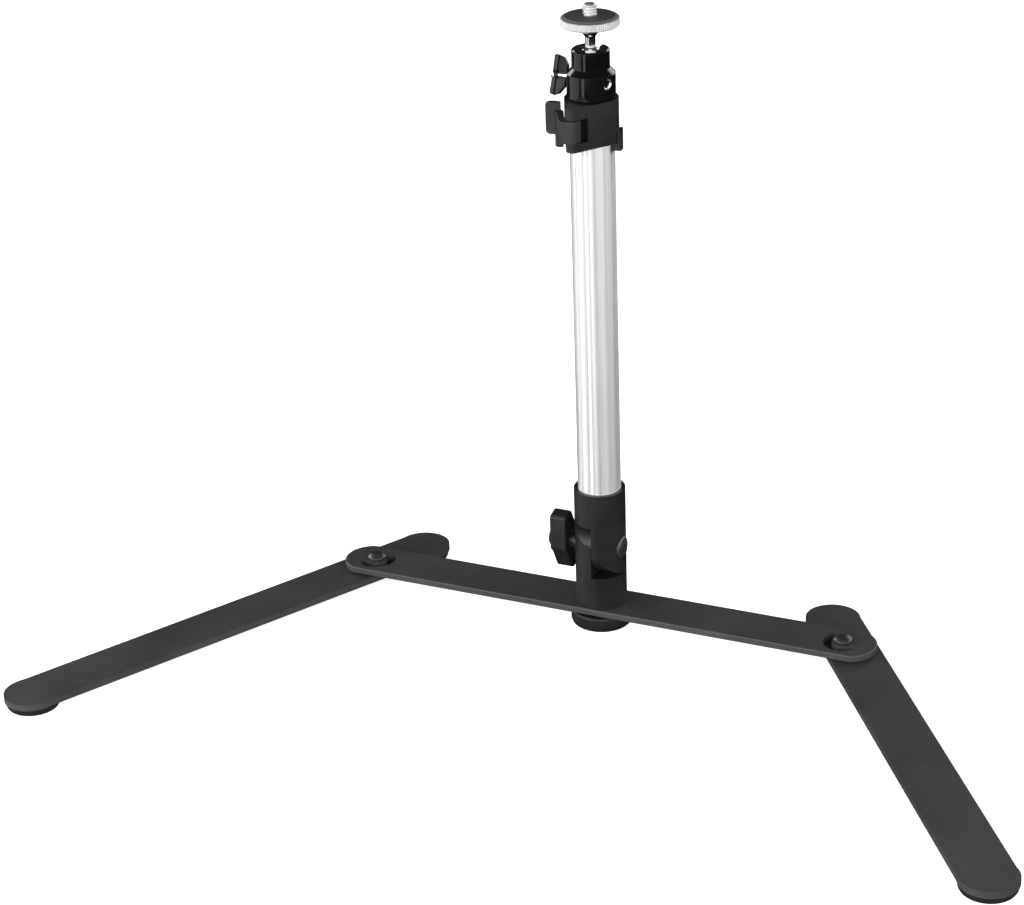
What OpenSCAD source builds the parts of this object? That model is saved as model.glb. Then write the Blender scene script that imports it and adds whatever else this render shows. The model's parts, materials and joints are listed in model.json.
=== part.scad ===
// Folding desk stand for a webcam: two swinging flat legs under a cross bar, a tilting
// telescopic mast with a flip-lever clamp, and a small ball head with a 1/4-20 stud.
// Millimetres. Origin: on the floor, under the centre of the middle foot. +Z up,
// +X along the cross bar, the long legs reach towards -Y.

/* [Base bars] */
// thickness of the cross bar and of both legs
bar_t = 3.2; // [2:0.1:5]
// width of the cross bar and of both legs
bar_w = 24.8; // [18:0.2:32]
// overall length of the cross bar
cross_len = 269.8; // [230:0.2:320]
// distance of each leg pivot from the middle of the cross bar
pivot_x = 119.1; // [100:0.1:130]
// leg pivot to the tip of the long arm
leg_long = 203.4; // [160:0.2:230]
// leg pivot to the tip of the short arm
leg_short = 44.5; // [30:0.5:60]
// how far the leg's own centre line lies outboard of its pivot
leg_offset = 4.5; // [0:0.1:6]
// angle of the left leg outboard of straight forward
left_splay = 27; // [-30:0.5:75]
// angle of the right leg outboard of straight forward
right_splay = 34.3; // [-30:0.1:75]

/* [Feet and pivots] */
// height of the rubber feet under the legs
foot_h = 3.5; // [2:0.1:8]
// radius of the rubber feet under the legs
foot_r = 12.2; // [8:0.1:12.4]
// centre of a foot back from the leg's tip
foot_inset = 13; // [10:0.5:20]
// gap between the legs and the cross bar
spacer_gap = 1.2; // [0.8:0.1:3]
// shank radius of the leg pivot bolts
pivot_r = 2.5; // [2:0.1:4]
// head radius of the leg pivot bolts
pivot_head_r = 4.75; // [4:0.05:5]
// middle radius of the curved stop slot round each pivot
slot_mid_r = 7.15; // [6:0.05:8]
// half width of the curved stop slot
slot_half_w = 2.15; // [1.8:0.05:2.4]
// radius of the stop pin that rides in the slot
stop_r = 1.6; // [1:0.1:1.9]
// radius of the middle foot
mid_foot_r = 14.5; // [12:0.1:18]

/* [Tilt knuckle] */
// radius of both halves of the knuckle
knuckle_r = 12; // [11.5:0.1:14]
// height of the tilt axis above the floor
tilt_z = 40; // [36:0.5:50]
// radius of the rounded ear ends about the tilt axis
ear_r = 12.2; // [11:0.1:13]
// top of the socket that holds the mast tube
socket_top = 69.7; // [64:0.1:80]
// shank radius of the tilt bolt
tilt_bolt_r = 2.5; // [2.5:0.1:3]
// how far the tilt knob's wings reach from its axis
tilt_knob_reach = 15.5; // [12:0.5:18]

/* [Mast] */
// outer radius of the outer mast tube
tube_r = 10; // [8:0.1:12]
// wall of the outer mast tube
tube_wall = 1; // [0.8:0.1:2]
// outer radius of the inner mast tube
inner_r = 8.4; // [7:0.1:8.6]
// underside of the clamp collar
collar_z = 237.7; // [200:0.1:300]
// height of the clamp collar
collar_h = 19.8; // [16:0.1:26]
// radius of the clamp collar
collar_r = 12; // [11.4:0.1:14]

/* [Ball head] */
// radius of the head's wide lower part
head_r = 10.8; // [10:0.1:12]
// radius of the head's narrow upper part
neck_r = 8.4; // [7.5:0.1:9]
// radius of the ball
ball_r = 5.5; // [5:0.1:6]
// radius of the stem
stem_r = 2.3; // [2:0.05:2.6]
// radius of the camera screw, 1/4-20 thread crest
screw_r = 3.175; // [3.175:0.001:3.175]
// length of camera screw that stands above the pad
screw_proud = 5.3; // [4:0.1:6]
// radius of the knurled clamping disc
disc_r = 12.95; // [11:0.05:15]

/* [Hidden] */
$fn = 96;
leg_z = foot_h;
leg_top = leg_z + bar_t;
cross_z = leg_top + spacer_gap;
cross_top = cross_z + bar_t;
end_r = 13.2;
leg_end_r = 12.7;
left_dir = -90 - left_splay;
right_dir = -90 + right_splay;
shoulder = 12.8;
head_z = collar_z + collar_h + 0.3;
neck_z = head_z + 13.2;
head_top = head_z + 21.6;
ball_z = head_z + 17.1;
wing_z = head_z + 8.2;
disc_z = head_z + 31.7;
disc_t = 4;
pad_t = 0.6;
pad_top = disc_z + disc_t + pad_t;
screw_top = pad_top + screw_proud;
flat_dir = -33.3;
flat_d = 10.9;
side_dir = -154.7;
tip_r = 2.95;
tip_x = -1.8;
tip_y = -17.4;
lever_z = collar_z + 4.3;
lever_h = 10;
tip_dir = atan2(tip_y, tip_x);
tip_d = norm([tip_x, tip_y]);
wing_lean = 24.8;
charcoal = [0.17, 0.175, 0.18];
plastic = [0.1, 0.1, 0.105];
rubber = [0.07, 0.065, 0.06];
steel = [0.72, 0.73, 0.75];

// ---- shapes that repeat ----

// flat ring or disc
module ring(r, h, bore = 0) {
  difference() {
    cylinder(r = r, h = h);
    if (bore > 0) translate([0, 0, -1]) cylinder(r = bore, h = h + 2);
  }
}

// disc with both rims chamfered
module soft_disc(r, h, c) {
  rotate_extrude() polygon([[0, 0], [r - c, 0], [r, c], [r, h - c], [r - c, h], [0, h]]);
}

// places its children in a leg's own frame: pivot at the origin, long arm along +X
module leg_frame(side) {
  translate([side * pivot_x, 0, 0])
    rotate([0, 0, side < 0 ? left_dir : right_dir]) children();
}

// flat leg: both ends rounded to a disc a touch wider than the bar
module leg(side) {
  off = side * leg_offset;
  pin_dir = -side * 46;
  translate([0, 0, leg_z]) difference() {
    union() {
      translate([leg_end_r - leg_short, off - bar_w / 2, 0])
        cube([leg_long + leg_short - 2 * leg_end_r, bar_w, bar_t]);
      translate([leg_long - leg_end_r, off, 0]) cylinder(r = leg_end_r, h = bar_t);
      translate([leg_end_r - leg_short, off, 0]) cylinder(r = leg_end_r, h = bar_t);
    }
    translate([0, 0, -1]) cylinder(r = pivot_r + 0.05, h = bar_t + 2);
    rotate([0, 0, pin_dir]) translate([slot_mid_r, 0, -1])
      cylinder(r = stop_r + 0.02, h = bar_t + 2);
  }
}

// curved slot round the left pivot, with a smaller detent hole at its outboard end
module stop_slot() {
  first = -112;
  last = 39.5;
  rotate([0, 0, first]) rotate_extrude(angle = last - first)
    translate([slot_mid_r - slot_half_w, 0]) square([2 * slot_half_w, bar_t + 2]);
  for (a = [first, last])
    rotate([0, 0, a]) translate([slot_mid_r, 0, 0]) cylinder(r = slot_half_w - 0.03, h = bar_t + 2);
  rotate([0, 0, first - 21]) translate([slot_mid_r, 0, 0])
    cylinder(r = slot_half_w - 0.55, h = bar_t + 2);
}

// ---- base ----

module crossbar() color(charcoal) translate([0, 0, cross_z]) difference() {
  intersection() {
    translate([-cross_len / 2 - 1, -bar_w / 2, 0]) cube([cross_len + 2, bar_w, bar_t]);
    union() {
      translate([end_r - cross_len / 2, -bar_w, -1]) cube([cross_len - 2 * end_r, 2 * bar_w, bar_t + 2]);
      for (s = [-1, 1]) translate([s * (cross_len / 2 - end_r), 0, -1])
        cylinder(r = end_r, h = bar_t + 2);
    }
  }
  for (s = [-1, 1]) translate([s * pivot_x, 0, -1]) cylinder(r = pivot_r + 0.03, h = bar_t + 2);
  translate([-pivot_x, 0, -1]) stop_slot();
  translate([pivot_x, 0, -1]) mirror([1, 0, 0]) stop_slot();
  translate([0, 0, -1]) cylinder(r = 3.2, h = bar_t + 2);
}

module left_leg() color(charcoal) leg_frame(-1) leg(-1);

module right_leg() color(charcoal) leg_frame(1) leg(1);

// rubber foot: straight wall, small chamfer where it meets the floor
module foot() rotate_extrude()
  polygon([[0, 0], [foot_r - 0.8, 0], [foot_r, 0.8], [foot_r, foot_h], [0, foot_h]]);

module leg_foot(side, front) leg_frame(side)
  translate([front ? leg_long - foot_inset : foot_inset - leg_short, side * leg_offset, 0]) foot();

module left_front_foot() color(rubber) leg_foot(-1, true);

module left_rear_foot() color(rubber) leg_foot(-1, false);

module right_front_foot() color(rubber) leg_foot(1, true);

module right_rear_foot() color(rubber) leg_foot(1, false);

// domed-head pivot bolt, from under the nut to the top of the dome
module pivot_bolt() {
  rotate_extrude() polygon([[0, 0.9], [pivot_r - 0.3, 0.9], [pivot_r, 1.2],
    [pivot_r, cross_top], [pivot_head_r, cross_top], [pivot_head_r, cross_top + 1.5],
    [0, cross_top + 1.5]]);
  dome_h = 1.5;
  dome_r = (pivot_head_r * pivot_head_r + dome_h * dome_h) / (2 * dome_h);
  intersection() {
    translate([0, 0, cross_top + 1.5 + dome_h - dome_r]) sphere(r = dome_r);
    translate([0, 0, cross_top + 1.4]) cylinder(r = pivot_head_r, h = dome_h + 1);
  }
}

module left_pivot_bolt() color(plastic) translate([-pivot_x, 0, 0]) pivot_bolt();

module right_pivot_bolt() color(plastic) translate([pivot_x, 0, 0]) pivot_bolt();

module pivot_spacer() translate([0, 0, leg_top + 0.3]) ring(4.6, spacer_gap - 0.3, pivot_r + 0.03);

module left_pivot_spacer() color(plastic) translate([-pivot_x, 0, 0]) pivot_spacer();

module right_pivot_spacer() color(plastic) translate([pivot_x, 0, 0]) pivot_spacer();

module pivot_nut() translate([0, 0, 1]) difference() {
  cylinder(r = 4.6, h = leg_z - 1.3, $fn = 6);
  translate([0, 0, -1]) cylinder(r = pivot_r + 0.02, h = leg_z + 1);
}

module left_pivot_nut() color(steel) translate([-pivot_x, 0, 0]) pivot_nut();

module right_pivot_nut() color(steel) translate([pivot_x, 0, 0]) pivot_nut();

module stop_pin(side) leg_frame(side) rotate([0, 0, -side * 46])
  translate([slot_mid_r, 0, leg_z]) soft_disc(stop_r, cross_z + 1.2 - leg_z, 0.3);

module left_stop_pin() color(steel) stop_pin(-1);

module right_stop_pin() color(steel) stop_pin(1);

// ---- middle foot, which is the thumb screw that holds the mast down ----

module middle_pad() color(rubber) rotate_extrude()
  polygon([[0, 0], [mid_foot_r - 1, 0], [mid_foot_r - 0.4, 0.6], [mid_foot_r - 0.4, 1.6], [0, 1.6]]);

module middle_knob() color(plastic) difference() {
  union() {
    translate([0, 0, 1.6]) soft_disc(mid_foot_r, 5.6, 0.5);
    translate([0, 0, 7]) cylinder(r = 8, h = cross_z - 7.3);
  }
  translate([0, 0, 3]) cylinder(r = 3.02, h = 10);
}

module middle_screw() color(steel) translate([0, 0, 3]) soft_disc(3, 20, 0.5);

// ---- tilt knuckle ----

// half of a round post, on one side of the middle plane
module post_half(side, low, high) intersection() {
  translate([0, 0, low]) cylinder(r = knuckle_r, h = high - low);
  translate([side < 0 ? -20 - 0.15 : 0.15, -20, low - 1]) cube([20, 40, high - low + 2]);
}

// solid that a rounded ear is cut from: full circle about the tilt axis, open to one end
module ear_end(up) {
  translate([-20, 0, tilt_z]) rotate([0, 90, 0]) cylinder(r = ear_r, h = 40);
  translate([-20, -20, up ? tilt_z : tilt_z - 40]) cube([40, 40, 40]);
}

module lower_knuckle() color(plastic) difference() {
  union() {
    translate([0, 0, cross_top + 0.3]) cylinder(r = knuckle_r, h = tilt_z - shoulder - cross_top - 0.3);
    intersection() {
      post_half(-1, tilt_z - shoulder - 1, tilt_z + ear_r);
      ear_end(false);
    }
  }
  translate([-20, 0, tilt_z]) rotate([0, 90, 0]) cylinder(r = tilt_bolt_r + 0.05, h = 40);
  translate([-20 - 10.3, 0, tilt_z]) rotate([0, 90, 0]) cylinder(r = 6.2, h = 20);
  translate([0, 0, 10]) cylinder(r = 3.2, h = 15);
  translate([0, 0, 15]) cylinder(r = 5.52, h = 7.02, $fn = 6);
}

module knuckle_insert() color([0.78, 0.62, 0.3]) translate([0, 0, 15]) difference() {
  cylinder(r = 5.5, h = 7, $fn = 6);
  translate([0, 0, -1]) cylinder(r = 3.05, h = 9);
}

module upper_knuckle() color(plastic) difference() {
  union() {
    translate([0, 0, tilt_z + shoulder]) cylinder(r = knuckle_r, h = socket_top - tilt_z - shoulder);
    intersection() {
      post_half(1, tilt_z - ear_r, tilt_z + shoulder + 1);
      ear_end(true);
    }
  }
  translate([0, 0, 56]) cylinder(r = tube_r + 0.02, h = 40);
  translate([-20, 0, tilt_z]) rotate([0, 90, 0]) cylinder(r = tilt_bolt_r + 0.03, h = 40);
  translate([10.3, 0, tilt_z]) rotate([0, 90, 0]) cylinder(r = 6.2, h = 20);
}

// round-head bolt along the tilt axis, its head on the +X side
module tilt_bolt() color(steel) translate([0, 0, tilt_z]) rotate([0, 90, 0])
  rotate_extrude() polygon([[0, -21.9], [tilt_bolt_r - 0.4, -21.9], [tilt_bolt_r, -21.5],
    [tilt_bolt_r, 10.3], [5.9, 10.3], [5.9, 10.8], [5, 11.6], [3.4, 12.2], [0, 12.5]]);

module tilt_washer() color(steel) translate([-11.1, 0, tilt_z]) rotate([0, 90, 0])
  ring(5.4, 0.8, tilt_bolt_r + 0.03);

module tilt_nut() color(steel) translate([-19.5, 0, tilt_z]) rotate([0, 90, 0]) difference() {
  cylinder(r = 4.6, h = 4, $fn = 6);
  translate([0, 0, -1]) cylinder(r = tilt_bolt_r + 0.04, h = 6);
}

// two-winged knob: each wing has one upright face to push on and one slanted back
module tilt_knob() color(plastic) translate([0, 0, tilt_z]) difference() {
  k = tilt_knob_reach / 15.5;
  wing = [[-7.8, -3], [-7.8, 13.2 * k], [-6.8, 14.4 * k], [-1.6, 15.5 * k], [0.4, 14.5 * k], [5.6, 5]];
  union() {
    translate([-22.5, 0, 0]) rotate([90, 0, 90]) linear_extrude(8)
      polygon(concat(wing, [for (q = wing) -q]));
    translate([-25, 0, 0]) rotate([0, 90, 0]) cylinder(r = 5.5, h = 3);
    translate([-14.6, 0, 0]) rotate([0, 90, 0]) cylinder(r = 4, h = 3.2);
  }
  translate([-22.4, 0, 0]) rotate([0, 90, 0]) cylinder(r = tilt_bolt_r + 0.15, h = 20);
  translate([-19.53, 0, 0]) rotate([0, 90, 0]) cylinder(r = 4.65, h = 4.06, $fn = 6);
}

// ---- telescopic mast ----

module outer_tube() color([0.8, 0.81, 0.82]) translate([0, 0, 56])
  ring(tube_r, lever_z + 1.3 - 56, tube_r - tube_wall);

module inner_tube() color([0.8, 0.81, 0.82]) translate([0, 0, 66])
  ring(inner_r, head_z - 66, inner_r - 0.8);

module slide_bush() color([0.85, 0.85, 0.82]) translate([0, 0, 60]) difference() {
  union() {
    cylinder(r = tube_r - tube_wall - 0.06, h = 6);
    cylinder(r = inner_r - 0.83, h = 16);
  }
  translate([0, 0, -1]) cylinder(r = 5.5, h = 20);
}

module tube_plug() color(plastic) translate([0, 0, head_z - 12])
  ring(inner_r - 0.83, 12, 3.03);

module head_screw() color(steel) translate([0, 0, head_z - 10]) soft_disc(3, 15.5, 0.4);

// straight-sided plan of the collar: round at the tube, drawn out to a rounded tip
module collar_plan(h) intersection() {
  union() {
    cylinder(r = collar_r, h = h);
    translate([tip_x, tip_y, 0]) cylinder(r = tip_r, h = h);
    linear_extrude(h) polygon([[0, 0],
      (collar_r - 0.03) * [cos(side_dir), sin(side_dir)],
      [tip_x, tip_y] + (tip_r - 0.03) * [cos(side_dir), sin(side_dir)],
      [tip_x, tip_y] + (tip_r + 1) * [cos(flat_dir), sin(flat_dir)],
      [tip_x, tip_y] + (tip_r + 1) * [cos(flat_dir), sin(flat_dir)] - 19 * [sin(flat_dir), -cos(flat_dir)]]);
  }
  rotate([0, 0, flat_dir]) translate([flat_d - 60, -40, -1]) cube([60, 80, h + 2]);
}

module clamp_collar() color(plastic) difference() {
  union() {
    translate([0, 0, collar_z]) collar_plan(collar_h);
    translate([0, 0, collar_z - 3.6]) rotate([0, 0, -2]) rotate_extrude(angle = 30)
      translate([tube_r - 1, 0]) square([4.6, 9]);
  }
  translate([0, 0, collar_z - 4]) cylinder(r = tube_r + 0.02, h = lever_z + 1.3 - collar_z + 4);
  translate([0, 0, collar_z]) cylinder(r = inner_r + 0.06, h = 40);
  translate([tip_x, tip_y, lever_z - 0.3]) cylinder(r = 5.4, h = lever_h + 0.6);
  rotate([0, 0, flat_dir]) translate([7, -15.5, lever_z - 0.3]) cube([5, 6.3, lever_h + 0.6]);
  translate([tip_x, tip_y, collar_z + 1]) cylinder(r = 1.27, h = collar_h - 2);
  rotate([0, 0, tip_dir]) translate([0, -2.6, lever_z + 1.8]) cube([tip_d, 5.2, 6]);
}

module lever_pin() color(steel) translate([tip_x, tip_y, collar_z + 1.2])
  soft_disc(1.25, collar_h - 2.4, 0.2);

// lever frame: hub at the origin, +X along the collar's side, +Y away from the collar
module lever_frame() translate([tip_x, tip_y, 0]) rotate([0, 0, side_dir - 90]) children();

module clamp_lever() color(plastic) difference() {
  lever_frame() {
    translate([0, 0, lever_z]) cylinder(r = 3.6, h = lever_h);
    translate([0, 0, lever_z]) linear_extrude(lever_h) polygon([[-3.2, 1.6], [-2.2, 4.9], [0.2, 6],
      [12.6, 6.3], [14.6, 7.6], [15.6, 11.2], [17.6, 11.2], [17.2, 6.9], [15.6, 4.2], [13.4, 3.3],
      [4.2, 3.3], [3.2, 2], [0, 0]]);
    translate([0, 0, lever_z - 0.9]) linear_extrude(14.6) polygon([[14.2, 4.4], [14.6, 7.6],
      [15.6, 11.2], [17.6, 11.2], [17.2, 6.9], [15.8, 4.4]]);
    translate([0, 0, lever_z - 6.2]) linear_extrude(7) polygon([[12.4, 3.6], [12.6, 6.3],
      [14.6, 7.2], [15.8, 4.6], [14, 3.6]]);
  }
  translate([tip_x, tip_y, lever_z - 1]) cylinder(r = 1.3, h = lever_h + 2);
  translate([tip_x, tip_y, lever_z - 1]) rotate([0, 0, tip_dir + 180 - 100])
    translate([3.1, -4, 0]) cube([4, 8, lever_h + 2]);
}

// nylon shoe that the lever's cam presses against the inner tube
module clamp_shoe() color([0.85, 0.85, 0.82]) difference() {
  rotate([0, 0, tip_dir]) translate([7, -2.5, lever_z + 1.9])
    cube([tip_d - 3.95 - 7, 5, 5.8]);
  translate([0, 0, collar_z]) cylinder(r = inner_r + 0.05, h = 30);
}

// ---- ball head ----

module head_body() color([0.04, 0.04, 0.045]) difference() {
  rotate_extrude() polygon([[0, head_z], [head_r - 0.4, head_z], [head_r, head_z + 0.4],
    [head_r, head_z + 10.8], [neck_r, neck_z], [neck_r, head_top - 0.6],
    [neck_r - 0.6, head_top], [0, head_top]]);
  translate([0, 0, head_z - 1]) cylinder(r = 3.03, h = 7);
  translate([0, 0, head_z + 10]) cylinder(r = 6.7, h = 6.4);
  translate([0, 0, head_z + 8]) cylinder(r = 3, h = 4);
  translate([0, 0, ball_z]) sphere(r = ball_r + 0.08);
  translate([0, 0, ball_z]) cylinder(r = 4.4, h = 10);
  translate([-20, 0, wing_z]) rotate([0, 90, 0]) cylinder(r = 2.05, h = 22);
  rotate([0, 0, -23]) translate([7.4, 0, head_z + 7.4]) rotate([0, 90, 0]) cylinder(r = 2.55, h = 9);
  translate([0, 0, ball_z]) rotate([-90, 0, 0]) cylinder(r = 2.8, h = 20);
  translate([-2.8, 0, ball_z]) cube([5.6, 20, 20]);
}

module set_screw() color(steel) rotate([0, 0, -23]) translate([7.4, 0, head_z + 7.4])
  rotate([0, 90, 0]) difference() {
    soft_disc(2.5, 2.6, 0.2);
    translate([0, 0, 1.2]) cylinder(r = 1.45, h = 3, $fn = 6);
  }

// nylon cup under the ball
module ball_seat() color([0.85, 0.85, 0.82]) translate([0, 0, ball_z]) difference() {
  sphere(r = 6.45);
  sphere(r = ball_r + 0.05);
  translate([0, 0, 12 - 2.7]) cube([24, 24, 24], center = true);
  translate([0, 0, -10]) cylinder(r = 1.5, h = 10);
}

module ball() color(steel) translate([0, 0, ball_z]) difference() {
  sphere(r = ball_r);
  translate([0, 0, -3]) cylinder(r = stem_r + 0.05, h = 12);
}

// polished stem that flares to a collar and carries the camera screw in one piece
// the screw has a short relief level with the pad
module ball_stem() color([0.8, 0.8, 0.82]) rotate_extrude()
  polygon([[0, ball_z - 2.95], [stem_r, ball_z - 2.95], [stem_r, disc_z - 5],
    [3.3, disc_z - 3.9], [3.8, disc_z - 2.9], [3.8, disc_z - 0.2],
    [screw_r - 0.05, disc_z - 0.2], [screw_r - 0.05, pad_top - 1.2], [screw_r - 0.6, pad_top - 1],
    [screw_r - 0.6, pad_top + 0.2], [screw_r, pad_top + 0.2],
    [screw_r, screw_top - 0.6], [screw_r - 0.6, screw_top], [0, screw_top]]);

module wing_pin() color(steel) translate([0, 0, wing_z]) rotate([0, -90, 0])
  rotate_extrude() polygon([[0, 3], [0.8, 3], [2, 5.2], [2, 16.6], [2.4, 16.6], [2.4, 17.5],
    [1.7, 18.2], [0, 18.5]]);

// the screw's plastic wings: two flat blades joined by a narrow sleeve
module wing_grip() color(plastic) translate([0, 0, wing_z]) rotate([-wing_lean, 0, 0]) difference() {
  union() {
    for (s = [-1, 1]) translate([0, 1.6, 0]) rotate([90, 0, 0]) linear_extrude(3.2)
      polygon([[-17.8, s * 1.2], [-18, s * 8.1], [-16.6, s * 8.9], [-14.6, s * 8.6],
        [-11.3, s * 6], [-11.3, s * 1.2]]);
    translate([-16.4, 0, 0]) rotate([0, 90, 0]) cylinder(r = 2.9, h = 1.4);
  }
  translate([-30, 0, 0]) rotate([0, 90, 0]) cylinder(r = 2.04, h = 30);
  translate([-19, 0, 0]) rotate([0, 90, 0]) cylinder(r = 2.5, h = 2.42);
}

module clamp_disc() color(steel) translate([0, 0, disc_z]) difference() {
  soft_disc(disc_r, disc_t, 0.4);
  translate([0, 0, -1]) cylinder(r = screw_r + 0.05, h = 6);
}

module disc_pad() color(rubber) translate([0, 0, disc_z + disc_t])
  ring(11.3, pad_t, screw_r + 0.25);

crossbar();
left_leg();
right_leg();
left_front_foot();
left_rear_foot();
right_front_foot();
right_rear_foot();
left_pivot_bolt();
right_pivot_bolt();
left_pivot_spacer();
right_pivot_spacer();
left_pivot_nut();
right_pivot_nut();
left_stop_pin();
right_stop_pin();
middle_knob();
middle_pad();
middle_screw();
lower_knuckle();
knuckle_insert();
upper_knuckle();
tilt_bolt();
tilt_washer();
tilt_nut();
tilt_knob();
outer_tube();
clamp_collar();
lever_pin();
clamp_lever();
clamp_shoe();
inner_tube();
slide_bush();
tube_plug();
head_screw();
head_body();
set_screw();
ball_seat();
ball();
ball_stem();
wing_pin();
wing_grip();
clamp_disc();
disc_pad();
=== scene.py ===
import json
from math import asin, atan2, cos, degrees, pi, radians, sin, sqrt, tan

import bmesh
import bpy
from mathutils import Matrix, Vector


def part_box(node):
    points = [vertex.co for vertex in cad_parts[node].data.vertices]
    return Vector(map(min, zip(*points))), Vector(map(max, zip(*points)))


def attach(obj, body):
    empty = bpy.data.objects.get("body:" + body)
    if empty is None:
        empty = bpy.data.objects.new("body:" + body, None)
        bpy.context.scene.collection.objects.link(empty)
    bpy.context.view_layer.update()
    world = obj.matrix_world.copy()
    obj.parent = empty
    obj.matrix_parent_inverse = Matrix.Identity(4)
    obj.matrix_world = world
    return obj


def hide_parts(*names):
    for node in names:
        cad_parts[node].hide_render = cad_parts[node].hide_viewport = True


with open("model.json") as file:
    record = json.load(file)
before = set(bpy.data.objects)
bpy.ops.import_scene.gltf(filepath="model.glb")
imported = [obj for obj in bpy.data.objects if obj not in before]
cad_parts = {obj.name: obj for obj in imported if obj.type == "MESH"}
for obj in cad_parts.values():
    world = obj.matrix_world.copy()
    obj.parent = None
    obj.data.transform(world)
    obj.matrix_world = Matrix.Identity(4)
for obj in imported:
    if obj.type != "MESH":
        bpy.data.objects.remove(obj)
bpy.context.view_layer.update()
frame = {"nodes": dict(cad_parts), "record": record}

mm = 0.001
print("frame loaded:", len(frame["nodes"]), "nodes")


# lengths are in millimetres until a piece is finished

def nodeBox(name):
    low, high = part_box(name)
    return low / mm, high / mm


def nodeCentre(name):
    low, high = nodeBox(name)
    return (low + high) / 2


def arc(x, y, radius, first, last, steps):
    # points along an arc, angles in degrees
    turns = [radians(first + (last - first) * i / steps) for i in range(steps + 1)]
    return [(x + radius * cos(a), y + radius * sin(a)) for a in turns]


def circle(x, y, radius, steps=36):
    return arc(x, y, radius, 0, 360 - 360 / steps, steps - 1)


def roundOff(path, steps=5, closed=True):
    # a corner of the path is (x, y) or (x, y, radius of its rounding)
    made = []
    count = len(path)
    for i, corner in enumerate(path):
        here = Vector(corner[:2])
        isEnd = not closed and i in (0, count - 1)
        if len(corner) < 3 or isEnd:
            made.append(tuple(here))
            continue
        toLast = (Vector(path[i - 1][:2]) - here).normalized()
        toNext = (Vector(path[(i + 1) % count][:2]) - here).normalized()
        half = toLast.angle(toNext) / 2
        radius = corner[2]
        centre = here + (toLast + toNext).normalized() * (radius / sin(half))
        start = here + toLast * (radius / tan(half)) - centre
        end = here + toNext * (radius / tan(half)) - centre
        first = atan2(start.y, start.x)
        sweep = (atan2(end.y, end.x) - first + pi) % (2 * pi) - pi
        for k in range(steps + 1):
            a = first + sweep * k / steps
            made.append((centre.x + radius * cos(a), centre.y + radius * sin(a)))
    return made


meshing = {"merge": 1e-4, "flat": 1e-4, "level": 1e-4, "near": 0.01,
           "cadMerge": 0.002, "cadFlat": 0.4, "threadMerge": 1e-3}


def lathe(profile, steps=96, closed=False):
    # spins (radius, height) points round Z
    bm = bmesh.new()
    verts = [bm.verts.new((r, 0, z)) for r, z in profile]
    edges = [bm.edges.new(pair) for pair in zip(verts, verts[1:])]
    if closed:
        edges.append(bm.edges.new((verts[-1], verts[0])))
    bmesh.ops.spin(bm, geom=verts + edges, cent=(0, 0, 0), axis=(0, 0, 1), angle=2 * pi,
                   steps=steps, use_merge=True, use_duplicate=False)
    bmesh.ops.remove_doubles(bm, verts=bm.verts, dist=meshing["merge"])
    bmesh.ops.recalc_face_normals(bm, faces=bm.faces)
    return bm


def prism(outline, low, high, holes=()):
    # an outline with holes, drawn up from low to high
    bm = bmesh.new()
    rings = []
    for loop in (outline, *holes):
        verts = [bm.verts.new((x, y, low)) for x, y in loop]
        rings += [bm.edges.new((verts[i - 1], verts[i])) for i in range(len(verts))]
    bmesh.ops.triangle_fill(bm, use_beauty=True, use_dissolve=False, edges=rings, normal=(0, 0, 1))
    grown = bmesh.ops.extrude_face_region(bm, geom=bm.faces[:])["geom"]
    top = [v for v in grown if isinstance(v, bmesh.types.BMVert)]
    bmesh.ops.translate(bm, verts=top, vec=(0, 0, high - low))
    flat = [e for e in bm.edges
            if len(e.link_faces) == 2 and e.calc_face_angle() < meshing["flat"]]
    bmesh.ops.dissolve_edges(bm, edges=[] if holes else flat, use_verts=False)
    bmesh.ops.recalc_face_normals(bm, faces=bm.faces)
    return bm


def fromCad(name):
    # a merged copy of a CAD node, with its flat faces whole again
    bm = bmesh.new()
    bm.from_mesh(frame["nodes"][name].data)
    bmesh.ops.scale(bm, vec=(1 / mm,) * 3, verts=bm.verts)
    bmesh.ops.remove_doubles(bm, verts=bm.verts, dist=meshing["cadMerge"])
    bmesh.ops.dissolve_limit(bm, angle_limit=radians(meshing["cadFlat"]), verts=bm.verts,
                             edges=bm.edges)
    return bm


def cut(bm, at, along, drop=False):
    # a cut on a plane; drop takes away what is past it
    bmesh.ops.bisect_plane(bm, geom=bm.verts[:] + bm.edges[:] + bm.faces[:], plane_co=at,
                           plane_no=along, clear_outer=drop)


def sharpEdges(bm, least=30, test=None):
    # the outward edges sharper than an angle, that pass a test on their middle
    found = []
    for e in bm.edges:
        if len(e.link_faces) != 2 or not e.is_convex or e.calc_face_angle() < radians(least):
            continue
        if test is None or test((e.verts[0].co + e.verts[1].co) / 2):
            found.append(e)
    return found


def bevelEdges(bm, edges, width, segments=3):
    bmesh.ops.bevel(bm, geom=edges, offset=width, offset_type="OFFSET", segments=segments,
                    profile=0.5, affect="EDGES", clamp_overlap=True, loop_slide=False,
                    material=-1)


def place(bm, turn=None, at=(0, 0, 0)):
    if turn is not None:
        bmesh.ops.transform(bm, matrix=turn, verts=bm.verts)
    bmesh.ops.translate(bm, verts=bm.verts, vec=at)
    return bm


def join(*parts):
    # several bmeshes as one
    whole = bmesh.new()
    for part in parts:
        held = bpy.data.meshes.new("held")
        part.to_mesh(held)
        part.free()
        whole.from_mesh(held)
        bpy.data.meshes.remove(held)
    return whole


finishing = {"sharp": 38, "normalWeight": 60}


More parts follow.
